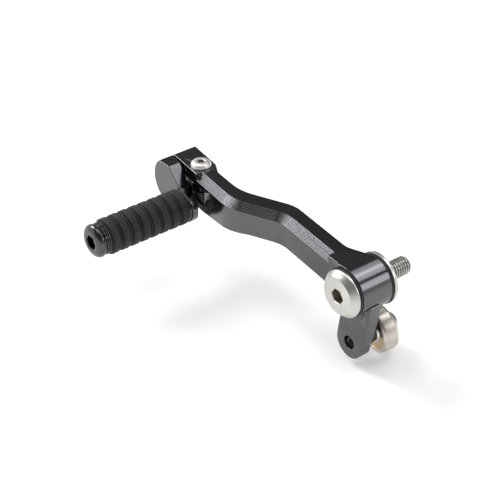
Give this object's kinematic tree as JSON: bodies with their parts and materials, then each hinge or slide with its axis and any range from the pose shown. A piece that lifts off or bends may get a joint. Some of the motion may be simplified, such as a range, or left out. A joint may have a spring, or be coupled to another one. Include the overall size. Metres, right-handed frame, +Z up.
{
  "type": "gear shift lever",
  "caption": "Motorcycle gear shift lever: a stepped, bent alloy arm on a shouldered pivot bolt, with a ribbed rubber toe peg that folds, and a spherical rod end on a hanging tab.",
  "frame": {"origin": "on the pivot axis, in the plane where the rear washer meets the machine", "axes": "+X towards the rear of the machine (the toe end points to -X), +Y inboard along the pivot bolt's thread, +Z up"},
  "size_m": [0.1354, 0.0886, 0.052],
  "materials": {
    "stainless": "satin turned stainless",
    "seal_rubber": "smooth moulded",
    "bronze": "machined",
    "black_anodised": "satin black anodised",
    "bright_steel": "bright machined",
    "spring_steel": "drawn wire",
    "gloss_black": "gloss black anodised",
    "grip_rubber": "matt moulded",
    "chrome_ball": "polished",
    "race_brass": "machined",
    "champagne_zinc": "satin zinc plate"
  },
  "bodies": {
    "pivot": {"pivot_bolt": "stainless", "front_seal": "seal_rubber", "rear_seal": "seal_rubber", "rear_washer": "stainless"},
    "lever": {"lever_arm": "black_anodised", "front_bush": "bronze", "rear_bush": "bronze", "tip_fold_screw": "bright_steel", "tip_fold_bush": "bronze", "tip_upper_shim": "bright_steel", "tip_lower_shim": "bright_steel", "tip_return_spring": "spring_steel", "tip_lock_nut": "bright_steel", "rod_end_screw": "bright_steel", "rod_end_washer": "bright_steel", "rod_end_spacer": "black_anodised"},
    "tip": {"tip_block": "black_anodised", "peg_core": "bright_steel", "peg_inner_washer": "gloss_black", "peg_rubber": "grip_rubber", "peg_end_washer": "gloss_black", "peg_end_cap": "gloss_black"},
    "rod_ball": {"rod_end_ball": "chrome_ball"},
    "rod_end": {"rod_end_race": "race_brass", "rod_end_housing": "champagne_zinc"}
  },
  "joints": [
    {"name": "lever_pivot", "type": "hinge", "parent": "pivot", "child": "lever", "pos_m": [0, -0.0104, 0], "axis": [0, 1, 0], "range_deg": [-12, 12]},
    {"name": "tip_fold", "type": "hinge", "parent": "lever", "child": "tip", "pos_m": [-0.1037, -0.0139, 0.0021], "axis": [0, 0, 1], "range_deg": [0, 9], "stiffness_Nm_per_rad": 0.25, "springref_deg": -28.65},
    {"name": "rod_swing", "type": "hinge", "parent": "lever", "child": "rod_ball", "pos_m": [-0.002, 0.0021, -0.028], "axis": [0, 1, 0], "range_deg": [-60, 6]},
    {"name": "rod_twist", "type": "hinge", "parent": "rod_ball", "child": "rod_end", "pos_m": [-0.002, 0.0021, -0.028], "axis": [-0.6691, 0, 0.7431], "range_deg": [-4.5, 21]}
  ]
}
